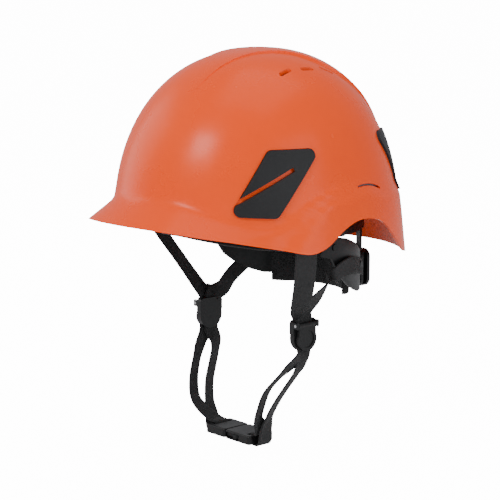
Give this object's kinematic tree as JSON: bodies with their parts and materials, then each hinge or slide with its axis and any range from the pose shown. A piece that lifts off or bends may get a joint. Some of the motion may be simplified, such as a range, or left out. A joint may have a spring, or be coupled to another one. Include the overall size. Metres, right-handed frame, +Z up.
{
  "type": "climbing-style safety helmet",
  "caption": "Vented climbing-style safety helmet with a short visor, lamp clips, foam liner, ratchet headband and a harness chin strap with a side-release buckle.",
  "frame": {"origin": "on the plane of symmetry, where the shell is widest, level with the ear lobes of its rim, at the middle of the head opening", "axes": "+Z up towards the crown, -Y to the front, +X to the wearer's left"},
  "size_m": [0.2325, 0.2939, 0.3415],
  "materials": {
    "shell_orange": "satin moulded",
    "clip_plastic": "fine grain",
    "liner_foam": "beaded foam",
    "band_plastic": "satin moulded",
    "knob_plastic": "satin moulded",
    "buckle_plastic": "satin moulded",
    "stud_plastic": "satin moulded",
    "brow_fabric": "knitted spacer fabric",
    "nape_fabric": "knitted spacer fabric",
    "crown_webbing": "flat woven tape",
    "chin_webbing": "ribbed woven webbing",
    "pin_steel": "plain"
  },
  "bodies": {
    "helmet": {"shell": "shell_orange", "lamp_clip_front_left": "clip_plastic", "lamp_clip_front_right": "clip_plastic", "lamp_clip_rear_left": "clip_plastic", "lamp_clip_rear_right": "clip_plastic", "foam_liner": "liner_foam", "front_headband": "band_plastic", "brow_pad": "brow_fabric", "rear_band_left": "band_plastic", "rear_band_right": "band_plastic", "band_studs": "stud_plastic", "cradle_arm_left": "band_plastic", "cradle_arm_right": "band_plastic", "arm_anchor_left": "band_plastic", "arm_anchor_right": "band_plastic", "ratchet_housing": "band_plastic", "ratchet_cover": "band_plastic", "nape_pad": "nape_fabric", "crown_straps": "crown_webbing", "crown_keys": "stud_plastic", "front_strap_left": "chin_webbing", "front_strap_right": "chin_webbing", "rear_strap_left": "chin_webbing", "rear_strap_right": "chin_webbing", "outer_loop_left": "chin_webbing", "inner_loop_left": "chin_webbing", "front_strap_anchors": "stud_plastic", "rear_strap_studs": "stud_plastic", "adjuster_frame_left": "buckle_plastic", "adjuster_pin_left": "pin_steel", "adjuster_frame_right": "buckle_plastic", "adjuster_pin_right": "pin_steel", "buckle_socket": "buckle_plastic"},
    "knob": {"ratchet_knob": "knob_plastic", "ratchet_pinion": "band_plastic"},
    "rack_left": {"band_rack_left": "band_plastic"},
    "rack_right": {"band_rack_right": "band_plastic"},
    "plug": {"buckle_plug": "buckle_plastic", "outer_loop_right": "chin_webbing", "inner_loop_right": "chin_webbing"},
    "prong_front": {"buckle_prong_front": "buckle_plastic"},
    "prong_back": {"buckle_prong_back": "buckle_plastic"},
    "lever_left": {"adjuster_lever_left": "buckle_plastic"},
    "lever_right": {"adjuster_lever_right": "buckle_plastic"}
  },
  "joints": [
    {"name": "knob_turn", "type": "hinge", "parent": "helmet", "child": "knob", "pos_m": [0, 0.107, -0.032], "axis": [0, 1, 0], "range_deg": [-36, 108]},
    {"name": "rack_slide_left", "type": "slide", "parent": "helmet", "child": "rack_left", "axis": [1, 0, 0], "range_m": [-0.0048, 0.0142]},
    {"name": "rack_slide_right", "type": "slide", "parent": "helmet", "child": "rack_right", "axis": [-1, 0, 0], "range_m": [-0.0048, 0.0142]},
    {"name": "buckle_release", "type": "slide", "parent": "helmet", "child": "plug", "axis": [-1, 0, 0], "range_m": [0, 0.024]},
    {"name": "prong_press_front", "type": "hinge", "parent": "plug", "child": "prong_front", "pos_m": [-0.006, -0.03225, -0.169], "axis": [0, 0, 1], "range_deg": [0, 5], "stiffness_Nm_per_rad": 0.05},
    {"name": "prong_press_back", "type": "hinge", "parent": "plug", "child": "prong_back", "pos_m": [-0.006, -0.01175, -0.169], "axis": [0, 0, -1], "range_deg": [0, 5], "stiffness_Nm_per_rad": 0.05},
    {"name": "lever_open_left", "type": "hinge", "parent": "helmet", "child": "lever_left", "pos_m": [0.0658, -0.004, -0.0645], "axis": [0, -1, 0], "range_deg": [0, 70]},
    {"name": "lever_open_right", "type": "hinge", "parent": "helmet", "child": "lever_right", "pos_m": [-0.0658, -0.004, -0.0645], "axis": [0, 1, 0], "range_deg": [0, 70]}
  ],
  "couplings": [
    {"joint": "rack_slide_left", "follows": "knob_turn", "m_per_rad": 0.0075},
    {"joint": "rack_slide_right", "follows": "knob_turn", "m_per_rad": 0.0075}
  ]
}
